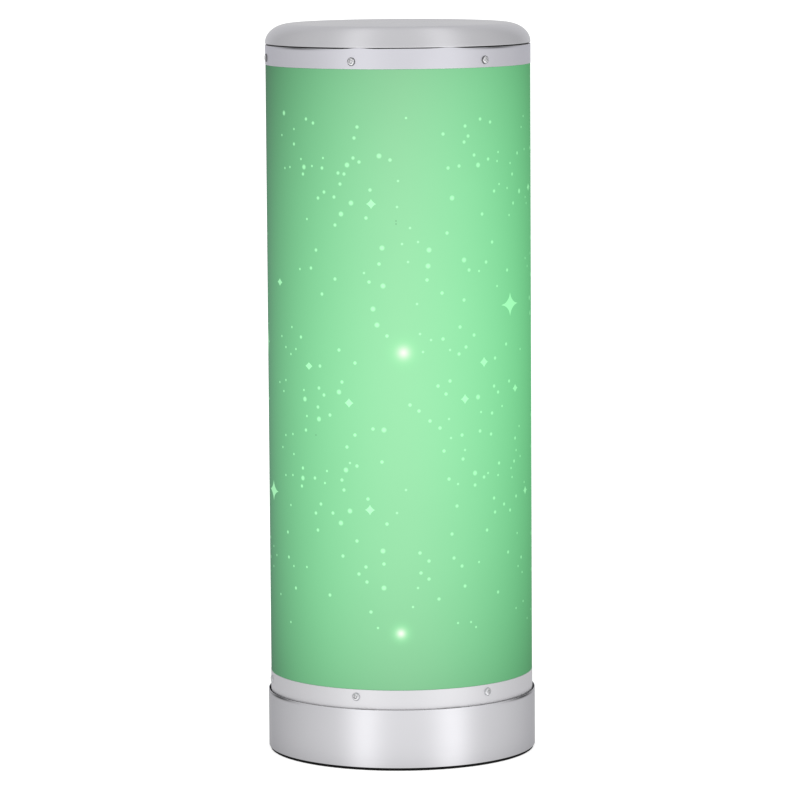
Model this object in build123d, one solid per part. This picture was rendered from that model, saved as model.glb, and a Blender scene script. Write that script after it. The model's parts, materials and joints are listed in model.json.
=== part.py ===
from build123d import *
import os
from math import sqrt

# Decorative LED column lamp: a printed glass tube clamped between two moulded holders on a
# chrome base, with a chrome band round each holder and a chrome cap that lifts off.
# Lengths are millimetres and +Z is up. The lamp stands on z = 0 with its axis on Z, its front
# is towards -Y, and its socket and push button are at the back, towards +Y.

# Fits and cuts shared by several pieces
slip_fit = 0.05             # radial, a piece that slides into a band or over a rod
loose_fit = 0.3             # radial, a piece that drops in by hand or moves freely
overrun = 1.0               # how far a cut runs past the face that it opens

# Glass tube
glass_od = 95.2
glass_wall = 3.0
glass_length = 220.0
glass_edge = 0.4            # ground edges at both ends

# Chrome bands round the two ends of the stack
collar_proud = 0.1          # band over glass
collar_wall = 0.5
lower_collar_height = 8.7
upper_collar_drop = 0.2     # upper band stops this far below the cap's seat
collar_screw_count = 6
collar_screw_angle = -110.0  # degrees from +X of the first screw, left of the front
collar_screw_edge = 1.85    # screw axis from the flange face next to the glass

# Moulded holders at the ends of the glass, and the gaskets under and over it
spigot_clearance = 0.35
spigot_wall = 2.0
spigot_length = 8.0
holder_floor = 3.0
upper_flange_height = 6.4
lead_in = 0.6               # chamfer at the mouth of the upper holder
ledge_drop = 2.1            # ledge under the upper flange
ledge_thickness = 2.5
ledge_width = 4.4
gasket_thickness = 0.8

# Chrome base
base_wall = 0.3
base_gap = 0.6              # between lower band and base lip
lip_height = 1.7            # lip above the deck
lip_break_share = 0.4       # broken edges of the wall, of its thickness
deck_thickness = 1.0
skirt_gap = 0.9             # chrome edge above the table

# Underside: pressed tray with a rubber foot, held by three pillars
foot_height = 1.6
foot_screw_gap = 0.85       # foot outside the heads of the cover screws
foot_edge_gap = 0.25        # foot inside the base wall
foot_chamfer = 0.3
cover_thickness = 1.6
cover_bend = 1.0
cover_rim_height = 3.0
standoff_af = 5.5
standoff_grip = 5.0         # screw length inside a pillar
pillar_count = 3
pillar_angle = -90.0        # degrees from +X of the first pillar, at the front
pillar_edge = 6.4           # pillar axis inside the holder's bore

# Screws, as radius of shank, radius and height of head
m3_shank_r = 1.4
m3_head_r = 2.8
m3_head_height = 1.2
m2_shank_r = 1.1
m2_head_r = 2.0
m2_head_height = 1.4
collar_shank_r = 1.2
collar_shank_length = 3.6
collar_head_r = 1.5
collar_head_height = 0.7
head_edge_share = 0.6       # chamfer or rounding of a head, of its height
screw_clearance = 0.1       # radial, shank in its hole

# LED driver board
spacer_height = 3.4
spacer_r = 2.4
spacer_grip_share = 0.8     # screw length inside a spacer, of its height
board_thickness = 1.6
board_wall_gap = 8.2        # rear edge from the base wall
board_front_margin = 7.0    # front edge from the lead axis
board_hole_inset = 2.9      # screw axis from the board's edges
board_screw_gap = 1.1       # screw head beside the socket
capacitor_r = 3.2
capacitor_height = 9.0
capacitor_round = 0.8
capacitor_x = 11.9
capacitor_back = 2.0        # behind the lead axis
coil_width = 7.0
coil_height = 4.0
coil_x = 11.5
coil_back = 3.0             # behind the lead axis
chip_width = 5.0
chip_depth = 5.0
chip_height = 1.6
chip_gap = 1.0              # between connector and chip
connector_width = 8.0
connector_depth = 5.0
connector_height = 3.5

# Socket and push switch at the back
port_spacing = 15.0         # between the two axes
inlet_width = 9.0
inlet_length = 14.0
inlet_height = 10.6
inlet_nose_r = 3.9
inlet_bore_r = 3.1
inlet_pin_r = 1.0
inlet_pin_recess = 1.0
inlet_depth = 9.5
chamber_clearance = 0.4     # socket under the deck
switch_width = 8.0
switch_length = 7.0
switch_drop = 1.2           # switch lower than the socket
switch_setback = 8.4        # switch front behind the socket front
stem_width = 3.0
stem_clearance = 0.15
stem_entry = 4.0            # stem inside the switch at rest
stem_socket = 2.5           # stem inside the button
button_r = 3.0
button_travel = 1.8
button_flange_r = 4.1
button_flange = 1.2
button_boss = 2.0
button_round = 0.6
spring_wire_r = 0.15
spring_clearance = 0.3      # spring round the corners of the stem
spring_turns = 4

# Threaded rod with its nuts and washers
rod_r = 5.0
rod_bore_r = 3.5
rod_overhang = 1.0          # rod past its nut
nut_af = 14.0
nut_height = 4.0
washer_r = 9.0
washer_thickness = 1.5

# Bridge that carries the upper nut
spider_thickness = 1.5
spider_drop = 14.5          # hub below the ledge
spider_hub_r = 13.0
spider_arm_width = 10.0
spider_arm_count = 3
spider_bend = 2.0           # flat of an arm past the ledge, before it drops

# LED column
mast_wall = 1.6
mast_corner = 1.2
mast_bore_clearance = 0.4   # radial, round the rod
socket_wall = 2.5
socket_floor = 3.0
socket_depth = 5.0
socket_corner = 2.0
strip_width = 10.0
strip_thickness = 1.2
strip_margin = 1.4          # between strip and socket
led_width = 5.0
led_height = 1.6
lens_r = 2.2
led_gap = 1.6               # first LED above the end of the leads
led_pitch_share = 0.534     # distance to the second LED, of the strip's length
faces = 4

# Leads from the board to the strip at the back
lead_r = 0.8
lead_spacing = 2.2
lead_bend = 4.8
lead_slope = 7.5            # height over which the leads come in to the mast
lead_meet = 1.0             # leads reach the strip this far above its end
lead_end = 6.5              # end of the leads above the end of the strip
grommet_wall = 1.3
grommet_flange = 1.2        # flange thickness, and its reach past the neck
grommet_gap = 1.6           # grommet flange to washer

# Cap
rim_gap = 0.3               # rim above the cap's seat
rim_height = 0.3            # straight part of the rim
shoulder_rise = 6.8
shoulder_reach = 9.2
cap_wall = 0.8
cap_ring_flange = 1.8
cap_ring_inset = 1.0        # ring inside the cap's wall
cap_ring_wall = 2.0
cap_ring_depth = 5.5
stud_count = 3
stud_r = 1.4
stud_shoulder_r = 2.4
stud_edge = 4.2             # stud axis inside the ring's bore
stud_over = 0.8             # stud past its nut
lug_r = 4.0
cap_nut_af = 5.5
cap_nut_height = 2.4

# Radii that follow from the sizes above
glass_r = glass_od / 2
glass_bore_r = glass_r - glass_wall
collar_r = glass_r + collar_proud
collar_bore_r = collar_r - collar_wall
holder_r = collar_bore_r - slip_fit
spigot_r = glass_bore_r - spigot_clearance
holder_bore_r = spigot_r - spigot_wall
ledge_r = holder_bore_r - ledge_width
base_bore_r = collar_r + base_gap
base_r = base_bore_r + base_wall
cover_r = base_bore_r - loose_fit
foot_r = base_bore_r - foot_edge_gap
pillar_circle_r = holder_bore_r - pillar_edge
foot_bore_r = pillar_circle_r + m3_head_r + foot_screw_gap
cap_ring_r = holder_bore_r - loose_fit
cap_ring_bore_r = cap_ring_r - cap_ring_wall
stud_circle_r = cap_ring_bore_r - stud_edge
rod_hole_r = rod_r + slip_fit
m3_hole_r = m3_shank_r + screw_clearance
m2_hole_r = m2_shank_r + screw_clearance
mast_bore_r = rod_r + mast_bore_clearance
mast_width = (mast_bore_r + mast_wall) * 2
socket_width = mast_width + (slip_fit + socket_wall) * 2
grommet_r = lead_spacing / 2 + lead_r * 2 + grommet_wall
grommet_flange_r = grommet_r + grommet_flange
spring_r = stem_width / sqrt(2) + spring_clearance + spring_wire_r

# Heights that follow from the sizes above
cover_z = foot_height
tray_z = cover_z + cover_thickness
board_z = tray_z + spacer_height
board_top_z = board_z + board_thickness
port_z = board_top_z + inlet_height / 2
deck_z = board_top_z + inlet_height + chamber_clearance
deck_top_z = deck_z + deck_thickness
lip_z = deck_top_z + lip_height
floor_z = deck_top_z + holder_floor
glass_z = deck_top_z + lower_collar_height
lower_flange_z = glass_z - gasket_thickness
glass_top_z = glass_z + glass_length
upper_flange_z = glass_top_z + gasket_thickness
cap_seat_z = upper_flange_z + upper_flange_height
ledge_z = upper_flange_z - ledge_drop
hub_z = ledge_z - spider_drop
hub_top_z = hub_z + spider_thickness
rod_z = deck_z - washer_thickness - nut_height - rod_overhang
rod_top_z = hub_top_z + washer_thickness + nut_height + rod_overhang
mast_z = floor_z + socket_floor
mast_top_z = hub_z - socket_floor
strip_z = mast_z + socket_depth + strip_margin
strip_top_z = mast_top_z - socket_depth - strip_margin
first_led_z = strip_z + lead_end + led_gap + led_width / 2
rim_z = cap_seat_z + rim_gap
shoulder_z = rim_z + rim_height
cap_top_z = shoulder_z + shoulder_rise
lug_top_z = cap_seat_z + cap_ring_flange

# Places at the back of the base
port_x = port_spacing / 2
lead_y = washer_r + grommet_gap + grommet_flange_r
board_front_y = lead_y - board_front_margin
board_rear_y = base_bore_r - board_wall_gap
board_depth = board_rear_y - board_front_y
board_hole_x = port_x + inlet_width / 2 + board_screw_gap + m2_head_r
board_width = (board_hole_x + board_hole_inset) * 2
board_y = (board_front_y + board_rear_y) / 2
inlet_front_y = sqrt((base_bore_r - loose_fit) ** 2 - (port_x + inlet_width / 2) ** 2)
inlet_nose_y = sqrt(base_r**2 - (port_x + inlet_nose_r) ** 2)
switch_front_y = inlet_front_y - switch_setback
flange_front_y = sqrt((base_bore_r - loose_fit) ** 2 - (port_x + button_flange_r) ** 2)
flange_rear_y = flange_front_y - button_flange
boss_rear_y = flange_rear_y - button_boss
button_face_y = sqrt(base_r**2 - port_x**2) + button_travel


def annulus(outer_r, inner_r, z, height):
    return Pos(0, 0, z) * extrude(Circle(outer_r) - Circle(inner_r), amount=height)


def disc(radius, z, height):
    return Pos(0, 0, z) * extrude(Circle(radius), amount=height)


def bar_y(profile, x, z, start_y, end_y):
    """A straight bar of the given profile that runs along Y."""
    bar = Rot(-90, 0, 0) * extrude(profile, amount=end_y - start_y)
    return Pos(x, start_y, z) * bar


def block(width, depth, height):
    """A block that stands on the plane z = 0, centred on the Z axis."""
    return extrude(Rectangle(width, depth), amount=height)


def hex_prism(across_flats, height):
    return extrude(RegularPolygon(across_flats / 2, 6, major_radius=False), amount=height)


def turned(outline):
    """A piece turned about the Z axis from an outline of radius and height."""
    return revolve(Plane.XZ * make_face(outline), Axis.Z)


def circles_at(piece, level):
    """The round edges of a piece, lowest level first."""
    return piece.edges().filter_by(GeomType.CIRCLE).group_by(Axis.Z)[level]


def ring_places(count, radius, start_angle):
    return [Rot(0, 0, start_angle + 360 / count * i) * Pos(radius, 0, 0) for i in range(count)]


def group(pieces):
    return Compound([piece.solid() for piece in pieces])


def screw(shank_r, length, head_r, head_height, soften=chamfer):
    """A screw with the seat of its head on z = 0 and its shank pointing down."""
    head = disc(head_r, 0, head_height)
    head = soften(circles_at(head, -1), head_height * head_edge_share)
    return head + disc(shank_r, -length, length)


def pillar_places():
    return ring_places(pillar_count, pillar_circle_r, pillar_angle)


def collar_screw_places(radius, z):
    """Places round a band, with local +Z pointing outwards."""
    places = ring_places(collar_screw_count, radius, collar_screw_angle)
    return [place * Pos(0, 0, z) * Rot(0, 90, 0) for place in places]


def board_hole_places():
    rows = (board_front_y + board_hole_inset, board_rear_y - board_hole_inset)
    return [Pos(side * board_hole_x, y, 0) for side in (-1, 1) for y in rows]


def make_base_housing():
    outline = Polyline(
        (0, deck_z), (base_bore_r, deck_z), (base_bore_r, skirt_gap), (base_r, skirt_gap),
        (base_r, lip_z), (base_bore_r, lip_z), (base_bore_r, deck_top_z), (0, deck_top_z),
        close=True,
    )
    shell = turned(outline)
    for level in (0, -1):
        shell = chamfer(circles_at(shell, level), base_wall * lip_break_share)
    through_z = deck_z - overrun
    through = deck_thickness + overrun * 2
    shell -= disc(rod_hole_r, through_z, through)
    shell -= Pos(0, lead_y, 0) * disc(grommet_r, through_z, through)
    for place in pillar_places():
        shell -= place * disc(m3_hole_r, through_z, through)
    for side, radius in ((-1, inlet_nose_r), (1, button_r)):
        hole = Circle(radius + loose_fit)
        shell -= bar_y(hole, side * port_x, port_z, switch_front_y, base_r + overrun)
    return shell


def make_bottom_cover():
    tray = disc(cover_r, cover_z, cover_thickness + cover_rim_height)
    tray -= disc(cover_r - cover_thickness, tray_z, cover_rim_height + overrun)
    tray = fillet(circles_at(tray, 0), cover_bend)
    for place in pillar_places():
        tray -= place * disc(m3_hole_r, cover_z - overrun, cover_thickness + overrun * 2)
    return tray


def make_foot_ring():
    ring = annulus(foot_r, foot_bore_r, 0, foot_height)
    return chamfer(circles_at(ring, 0), foot_chamfer)


def make_standoffs():
    pillar = hex_prism(standoff_af, deck_z - tray_z)
    pillar -= disc(m3_hole_r, -overrun, deck_z - tray_z + overrun * 2)
    return group([place * Pos(0, 0, tray_z) * pillar for place in pillar_places()])


def make_cover_screws():
    bolt = screw(m3_shank_r, cover_thickness + standoff_grip, m3_head_r, m3_head_height)
    places = [place * Pos(0, 0, cover_z) * Rot(180, 0, 0) for place in pillar_places()]
    return group([place * bolt for place in places])


def make_holder_screws():
    length = holder_floor + deck_thickness + standoff_grip
    bolt = screw(m3_shank_r, length, m3_head_r, m3_head_height)
    return group([place * Pos(0, 0, floor_z) * bolt for place in pillar_places()])


def make_control_board():
    board = Pos(0, board_y, board_z) * block(board_width, board_depth, board_thickness)
    for place in board_hole_places():
        board -= place * disc(m2_hole_r, board_z - overrun, board_thickness + overrun * 2)
    return board


def make_board_spacers():
    spacer = annulus(spacer_r, m2_hole_r, tray_z, spacer_height)
    return group([place * spacer for place in board_hole_places()])


def make_board_screws():
    length = board_thickness + spacer_height * spacer_grip_share
    bolt = Pos(0, 0, board_top_z) * screw(m2_shank_r, length, m2_head_r, m2_head_height)
    return group([place * bolt for place in board_hole_places()])


def make_board_components():
    capacitor = disc(capacitor_r, 0, capacitor_height)
    capacitor = fillet(circles_at(capacitor, -1), capacitor_round)
    coil = block(coil_width, coil_width, coil_height)
    chip = block(chip_width, chip_depth, chip_height)
    plug = block(connector_width, connector_depth, connector_height)
    chip_back = (connector_depth + chip_depth) / 2 + chip_gap
    return group([
        Pos(capacitor_x, lead_y + capacitor_back, board_top_z) * capacitor,
        Pos(-coil_x, lead_y + coil_back, board_top_z) * coil,
        Pos(0, lead_y + chip_back, board_top_z) * chip,
        Pos(0, lead_y, board_top_z) * plug,
    ])


def make_dc_inlet():
    body = bar_y(
        Rectangle(inlet_width, inlet_height), -port_x, port_z,
        inlet_front_y - inlet_length, inlet_front_y,
    )
    body += bar_y(Circle(inlet_nose_r), -port_x, port_z, inlet_front_y, inlet_nose_y)
    bottom_y = inlet_nose_y - inlet_depth
    bore = Circle(inlet_bore_r) - Circle(inlet_pin_r)
    body -= bar_y(bore, -port_x, port_z, bottom_y, inlet_nose_y + overrun)
    pin_end_y = inlet_nose_y - inlet_pin_recess
    return body - bar_y(Circle(inlet_pin_r), -port_x, port_z, pin_end_y, inlet_nose_y + overrun)


def square(width):
    return Rectangle(width, width)


def make_switch_body():
    body = block(switch_width, switch_length, inlet_height - switch_drop)
    body = Pos(port_x, switch_front_y - switch_length / 2, board_top_z) * body
    bottom_y = switch_front_y - stem_entry - button_travel - stem_clearance
    slot = square(stem_width + stem_clearance * 2)
    return body - bar_y(slot, port_x, port_z, bottom_y, switch_front_y + overrun)


def make_switch_plunger():
    start_y = switch_front_y - stem_entry
    return bar_y(square(stem_width), port_x, port_z, start_y, boss_rear_y + stem_socket)


def make_button_cap():
    cap = bar_y(Circle(button_r), port_x, port_z, boss_rear_y, button_face_y)
    cap = fillet(cap.edges().group_by(Axis.Y)[-1], button_round)
    cap += bar_y(Circle(button_flange_r), port_x, port_z, flange_rear_y, flange_front_y)
    pocket_end_y = boss_rear_y + stem_socket
    return cap - bar_y(square(stem_width), port_x, port_z, boss_rear_y - overrun, pocket_end_y)


def make_switch_spring():
    start_y = switch_front_y + spring_wire_r
    length = boss_rear_y - spring_wire_r - start_y
    path = Helix(length / spring_turns, length, spring_r)
    section = RegularPolygon(spring_wire_r, 6)
    wire = sweep(Plane(path @ 0, z_dir=path % 0) * section, path)
    return Pos(port_x, start_y, port_z) * Rot(-90, 0, 0) * wire


def make_collar(z, height, screw_z):
    band = annulus(collar_r, collar_bore_r, z, height)
    for place in collar_screw_places(collar_bore_r, screw_z):
        band -= place * disc(collar_shank_r + screw_clearance, -overrun, collar_wall + overrun * 2)
    return band


def make_collar_screws(screw_z):
    bolt = screw(collar_shank_r, collar_shank_length, collar_head_r, collar_head_height, fillet)
    return group([place * bolt for place in collar_screw_places(collar_r, screw_z)])


def drill_for_collar(holder, screw_z):
    depth = collar_shank_length - collar_wall + screw_clearance
    for place in collar_screw_places(holder_r, screw_z):
        holder -= place * disc(collar_shank_r + screw_clearance, -depth, depth + overrun)
    return holder


lower_screw_z = lower_flange_z - collar_screw_edge
upper_screw_z = upper_flange_z + collar_screw_edge


def make_lower_holder():
    outline = Polyline(
        (0, deck_top_z), (holder_r, deck_top_z), (holder_r, lower_flange_z),
        (spigot_r, lower_flange_z), (spigot_r, lower_flange_z + spigot_length),
        (holder_bore_r, lower_flange_z + spigot_length), (holder_bore_r, floor_z), (0, floor_z),
        close=True,
    )
    holder = turned(outline)
    through = holder_floor + overrun * 2
    holder -= disc(rod_hole_r, deck_top_z - overrun, through)
    holder -= Pos(0, lead_y, 0) * disc(grommet_flange_r + loose_fit, deck_top_z - overrun, through)
    for place in pillar_places():
        holder -= place * disc(m3_hole_r, deck_top_z - overrun, through)
    return drill_for_collar(holder, lower_screw_z)


def make_upper_holder():
    spigot_z = upper_flange_z - spigot_length
    outline = Polyline(
        (holder_bore_r, spigot_z), (spigot_r, spigot_z), (spigot_r, upper_flange_z),
        (holder_r, upper_flange_z), (holder_r, cap_seat_z), (holder_bore_r + lead_in, cap_seat_z),
        (holder_bore_r, cap_seat_z - lead_in), (holder_bore_r, ledge_z), (ledge_r, ledge_z),
        (ledge_r, ledge_z - ledge_thickness), (holder_bore_r, ledge_z - ledge_thickness),
        close=True,
    )
    return drill_for_collar(turned(outline), upper_screw_z)


def make_gasket(z):
    return annulus(holder_r, spigot_r + slip_fit, z, gasket_thickness)


def make_glass_shade():
    tube = annulus(glass_r, glass_bore_r, glass_z, glass_length)
    return chamfer(circles_at(tube, 0) + circles_at(tube, -1), glass_edge)


def make_top_spider():
    bend_r = ledge_r - spider_bend
    tab_r = holder_bore_r - loose_fit
    top_z = ledge_z + spider_thickness
    outline = Polyline(
        (0, hub_z), (spider_hub_r, hub_z), (bend_r, ledge_z), (tab_r, ledge_z),
        (tab_r, top_z), (bend_r - spider_thickness, top_z),
        (spider_hub_r - spider_thickness, hub_top_z), (0, hub_top_z), close=True,
    )
    arm = extrude(Plane.XZ * make_face(outline), amount=spider_arm_width / 2, both=True)
    spider = disc(spider_hub_r, hub_z, spider_thickness)
    for place in ring_places(spider_arm_count, 0, pillar_angle):
        spider += place * arm
    return spider - disc(rod_hole_r, hub_z - overrun, spider_drop)


def make_tie_rod():
    return annulus(rod_r, rod_bore_r, rod_z, rod_top_z - rod_z)


def make_rod_washers():
    lower_z = deck_z - washer_thickness
    return group([
        annulus(washer_r, rod_hole_r, z, washer_thickness) for z in (lower_z, hub_top_z)
    ])


def make_rod_nuts():
    nut = hex_prism(nut_af, nut_height)
    nut -= disc(rod_hole_r, -overrun, nut_height + overrun * 2)
    lower_z = deck_z - washer_thickness - nut_height
    return group([Pos(0, 0, z) * nut for z in (lower_z, hub_top_z + washer_thickness)])


def make_led_mast():
    section = RectangleRounded(mast_width, mast_width, mast_corner)
    section -= Circle(mast_bore_r)
    return Pos(0, 0, mast_z) * extrude(section, amount=mast_top_z - mast_z)


def make_mast_socket():
    """A square cup that stands on z = 0 and takes one end of the mast."""
    cup = extrude(
        RectangleRounded(socket_width, socket_width, socket_corner),
        amount=socket_floor + socket_depth,
    )
    seat = mast_width + slip_fit * 2
    cup -= Pos(0, 0, socket_floor) * extrude(
        RectangleRounded(seat, seat, mast_corner), amount=socket_depth + overrun
    )
    return cup - disc(rod_hole_r, -overrun, socket_floor + overrun * 2)


def make_mast_foot():
    return Pos(0, 0, floor_z) * make_mast_socket()


def make_mast_head():
    return Pos(0, 0, hub_z) * Rot(180, 0, 0) * make_mast_socket()


def mast_faces(distance):
    """Places on the mast's faces, with local +Z pointing outwards and local +Y up."""
    turns = [Rot(0, 0, 360 / faces * i) for i in range(faces)]
    return [turn * Pos(0, -distance, 0) * Rot(90, 0, 0) for turn in turns]


def led_places(distance):
    heights = (first_led_z, first_led_z + (strip_top_z - strip_z) * led_pitch_share)
    return [face * Pos(0, z, 0) for face in mast_faces(distance) for z in heights]


def make_led_strips():
    strip = block(strip_width, strip_top_z - strip_z, strip_thickness)
    middle_z = (strip_z + strip_top_z) / 2
    return group([face * Pos(0, middle_z, 0) * strip for face in mast_faces(mast_width / 2)])


def make_led_emitters():
    package = block(led_width, led_width, led_height)
    return group([place * package for place in led_places(mast_width / 2 + strip_thickness)])


def make_led_lenses():
    dome = Sphere(lens_r, arc_size1=0, align=(Align.CENTER, Align.CENTER, Align.MIN))
    distance = mast_width / 2 + strip_thickness + led_height
    return group([place * dome for place in led_places(distance)])


def make_lead_grommet():
    grommet = disc(grommet_r, deck_z, deck_thickness)
    for z in (deck_z - grommet_flange, deck_top_z):
        grommet += disc(grommet_flange_r, z, grommet_flange)
    hole_r = grommet_r - grommet_wall
    grommet -= disc(hole_r, deck_z - grommet_flange * 2, deck_thickness + grommet_flange * 4)
    return Pos(0, lead_y, 0) * grommet


def make_led_leads():
    strip_y = mast_width / 2 + strip_thickness + lead_r
    meet_z = strip_z + lead_meet
    leads = []
    for side in (-1, 1):
        x = side * lead_spacing / 2
        path = FilletPolyline(
            (x, lead_y, board_top_z + connector_height), (x, lead_y, meet_z - lead_slope),
            (x, strip_y, meet_z), (x, strip_y, strip_z + lead_end), radius=lead_bend,
        )
        leads.append(sweep(Plane(path @ 0, z_dir=path % 0) * Circle(lead_r), path))
    return group(leads)


def cap_outline(wall):
    """The cap's section, drawn in by a wall thickness, as a face that is solid to the axis."""
    plateau_r = collar_r - shoulder_reach
    top_z = cap_top_z - wall
    side_r = collar_r - wall
    shoulder = EllipticalCenterArc(
        (plateau_r, shoulder_z), shoulder_reach - wall, shoulder_rise - wall, arc_size=90
    )
    rest = Polyline((plateau_r, top_z), (0, top_z), (0, rim_z), (side_r, rim_z), (side_r, shoulder_z))
    return make_face([shoulder, *rest.edges()])


def make_top_cap():
    shell = revolve(Plane.XZ * (cap_outline(0) - cap_outline(cap_wall)), Axis.Z)
    inside_z = cap_top_z - cap_wall
    end_z = cap_seat_z - cap_nut_height - stud_over
    stud = disc(stud_r, end_z, inside_z - end_z)
    stud += disc(stud_shoulder_r, lug_top_z, inside_z - lug_top_z)
    for place in ring_places(stud_count, stud_circle_r, pillar_angle):
        shell += place * stud
    return shell


def make_cap_locating_ring():
    flange_r = collar_r - cap_wall - cap_ring_inset
    ring = annulus(flange_r, cap_ring_bore_r, cap_seat_z, cap_ring_flange)
    ring += annulus(cap_ring_r, cap_ring_bore_r, cap_seat_z - cap_ring_depth, cap_ring_depth)
    lug = disc(lug_r, cap_seat_z, cap_ring_flange)
    web = Pos(stud_edge / 2, 0, cap_seat_z) * block(stud_edge + cap_ring_wall, lug_r * 2, cap_ring_flange)
    hole = disc(stud_r + screw_clearance, cap_seat_z - overrun, cap_ring_flange + overrun * 2)
    for place in ring_places(stud_count, stud_circle_r, pillar_angle):
        ring += place * (lug + web)
        ring -= place * hole
    return ring


def make_cap_nuts():
    nut = hex_prism(cap_nut_af, cap_nut_height)
    nut -= disc(stud_r + screw_clearance, -overrun, cap_nut_height + overrun * 2)
    nut = Pos(0, 0, cap_seat_z - cap_nut_height) * nut
    return group([place * nut for place in ring_places(stud_count, stud_circle_r, pillar_angle)])


upper_collar_height = cap_seat_z - upper_collar_drop - glass_top_z

nodes = {
    "base_housing": make_base_housing(),
    "bottom_cover": make_bottom_cover(),
    "foot_ring": make_foot_ring(),
    "standoffs": make_standoffs(),
    "cover_screws": make_cover_screws(),
    "holder_screws": make_holder_screws(),
    "control_board": make_control_board(),
    "board_spacers": make_board_spacers(),
    "board_screws": make_board_screws(),
    "board_components": make_board_components(),
    "dc_inlet": make_dc_inlet(),
    "switch_body": make_switch_body(),
    "switch_spring": make_switch_spring(),
    "switch_plunger": make_switch_plunger(),
    "button_cap": make_button_cap(),
    "lower_holder": make_lower_holder(),
    "lower_collar": make_collar(deck_top_z, lower_collar_height, lower_screw_z),
    "lower_collar_screws": make_collar_screws(lower_screw_z),
    "lower_gasket": make_gasket(lower_flange_z),
    "glass_shade": make_glass_shade(),
    "upper_gasket": make_gasket(glass_top_z),
    "upper_holder": make_upper_holder(),
    "upper_collar": make_collar(glass_top_z, upper_collar_height, upper_screw_z),
    "upper_collar_screws": make_collar_screws(upper_screw_z),
    "top_spider": make_top_spider(),
    "tie_rod": make_tie_rod(),
    "rod_washers": make_rod_washers(),
    "rod_nuts": make_rod_nuts(),
    "led_mast": make_led_mast(),
    "mast_foot": make_mast_foot(),
    "mast_head": make_mast_head(),
    "led_strips": make_led_strips(),
    "led_emitters": make_led_emitters(),
    "led_lenses": make_led_lenses(),
    "lead_grommet": make_lead_grommet(),
    "led_leads": make_led_leads(),
    "top_cap": make_top_cap(),
    "cap_locating_ring": make_cap_locating_ring(),
    "cap_nuts": make_cap_nuts(),
}

os.makedirs("parts", exist_ok=True)
for name, shape in nodes.items():
    export_step(shape, f"parts/{name}.step")
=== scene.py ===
import json
import math

import bmesh
import bpy
from mathutils import Matrix, Vector


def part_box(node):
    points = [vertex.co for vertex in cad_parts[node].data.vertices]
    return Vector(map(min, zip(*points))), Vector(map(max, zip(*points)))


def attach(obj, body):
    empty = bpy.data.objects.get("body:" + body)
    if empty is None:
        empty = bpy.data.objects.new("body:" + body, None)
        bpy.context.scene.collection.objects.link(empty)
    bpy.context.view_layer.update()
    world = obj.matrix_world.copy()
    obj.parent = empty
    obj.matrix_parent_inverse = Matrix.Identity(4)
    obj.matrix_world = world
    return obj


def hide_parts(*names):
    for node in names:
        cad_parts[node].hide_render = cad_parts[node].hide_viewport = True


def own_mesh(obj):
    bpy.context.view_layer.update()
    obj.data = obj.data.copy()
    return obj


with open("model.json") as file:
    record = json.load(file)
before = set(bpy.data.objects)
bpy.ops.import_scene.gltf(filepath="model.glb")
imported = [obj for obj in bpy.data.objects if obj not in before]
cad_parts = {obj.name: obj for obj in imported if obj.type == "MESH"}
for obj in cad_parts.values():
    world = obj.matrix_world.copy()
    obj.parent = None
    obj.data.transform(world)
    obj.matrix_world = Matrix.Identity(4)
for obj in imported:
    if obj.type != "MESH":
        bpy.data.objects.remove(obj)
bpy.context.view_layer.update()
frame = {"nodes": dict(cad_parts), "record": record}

scene = bpy.context.scene
mm = 0.001
fullTurn = 2 * math.pi
quarterTurn = math.pi / 2
mergeGap = 0.001 * mm        # points closer than this are one point
slotOf = {part["node"]: part["material_slot"] for part in frame["record"]["subparts"]}
bodyOf = {node: body for body, nodes in frame["record"]["behaviour"]["bodies"].items() for node in nodes}


def heights(node):
    low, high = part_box(node)
    return low.z, high.z


def radius(node):
    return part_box(node)[1].x


def boxMiddle(node):
    low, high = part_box(node)
    return (low + high) / 2


# Camera at the place the photograph was taken from, a long lens a little above the lamp
view = {
    "lens": 201.2,
    "place": (0.0, -1610 * mm, 321.1 * mm),
    "down": 6.875,           # degrees, as the roll is
    "roll": -0.372,
    "farthest": 100.0,
    "frame": 800,            # pixels across the photograph
}


def cameraTurn():
    tilt = Matrix.Rotation(math.radians(90 - view["down"]), 4, "X")
    return tilt @ Matrix.Rotation(math.radians(view["roll"]), 4, "Z")


def makeCamera():
    camera = bpy.data.objects.new("camera", bpy.data.cameras.new("camera"))
    camera.data.lens = view["lens"]
    camera.data.clip_end = view["farthest"]
    camera.matrix_world = Matrix.Translation(view["place"]) @ cameraTurn()
    scene.collection.objects.link(camera)
    scene.camera = camera
    scene.view_settings.view_transform = "Standard"


makeCamera()
print("camera set")


# A shader socket that reads as a number in sums, and makes any other node
class Wire:
    def __init__(self, tree, socket=None):
        self.tree = tree
        self.socket = socket

    def node(self, kind, settings, sockets, output=0):
        made = self.tree.nodes.new(kind)
        for name, value in settings.items():
            setattr(made, name, value)
        for name, value in sockets.items():
            if isinstance(value, Wire):
                self.tree.links.new(value.socket, made.inputs[name])
            else:
                made.inputs[name].default_value = value
        return Wire(self.tree, made.outputs[output])

    def math(self, operation, *terms):
        return self.node("ShaderNodeMath", {"operation": operation}, dict(enumerate(terms)))

    def __add__(self, other):
        return self.math("ADD", self, other)

    __radd__ = __add__

    def __sub__(self, other):
        return self.math("SUBTRACT", self, other)

    def __rsub__(self, other):
        return self.math("SUBTRACT", other, self)

    def __mul__(self, other):
        return self.math("MULTIPLY", self, other)

    __rmul__ = __mul__

    def __truediv__(self, other):
        return self.math("DIVIDE", self, other)

    def __pow__(self, other):
        return self.math("POWER", self, other)

    def __lt__(self, other):
        return self.math("LESS_THAN", self, other)


def objectPlace(wire):
    return wire.node("ShaderNodeTexCoord", {}, {}, "Object")


def split(wire, vector):
    return [wire.node("ShaderNodeSeparateXYZ", {}, {0: vector}, axis) for axis in "XYZ"]


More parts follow.
